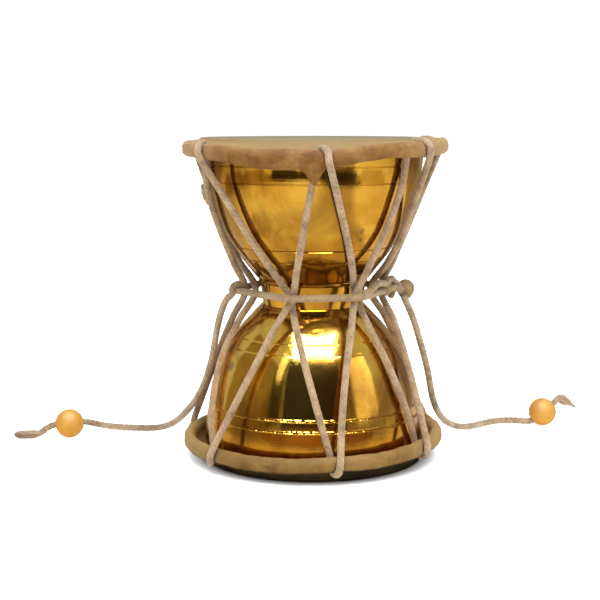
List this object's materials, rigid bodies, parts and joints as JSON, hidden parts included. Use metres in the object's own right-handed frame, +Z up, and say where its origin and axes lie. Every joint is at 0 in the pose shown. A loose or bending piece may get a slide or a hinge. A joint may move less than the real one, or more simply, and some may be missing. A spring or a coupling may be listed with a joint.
{
  "type": "damaru drum",
  "caption": "Two-headed hourglass hand drum: brass shell, skin heads on rolled hoops, cotton lacing, waist cord and two cord-and-bead strikers.",
  "frame": {"origin": "centre of the lower head's outer face, on the surface the drum stands on", "axes": "+Z up along the drum's axis, -Y towards the front, where the two front lacing legs part, +X to the side with the waist knot"},
  "size_m": [0.2451, 0.1079, 0.1281],
  "materials": {
    "shell_brass": "polished, with brown tarnish",
    "upper_skin": "matt rawhide",
    "lower_skin": "matt rawhide",
    "lacing_cotton": "twisted cotton cord",
    "waist_cotton": "twisted cotton cord",
    "striker_cotton": "twisted cotton cord, frayed at the ends",
    "bead_paint": "turned wood, satin orange-yellow paint"
  },
  "bodies": {
    "root": {"shell": "shell_brass", "upper_head": "upper_skin", "lower_head": "lower_skin", "lacing_round_a": "lacing_cotton", "lacing_round_b": "lacing_cotton", "waist_cord": "waist_cotton", "striker_cord_left": "striker_cotton", "striker_cord_right": "striker_cotton", "striker_bead_left": "bead_paint", "striker_bead_right": "bead_paint"}
  },
  "joints": []
}
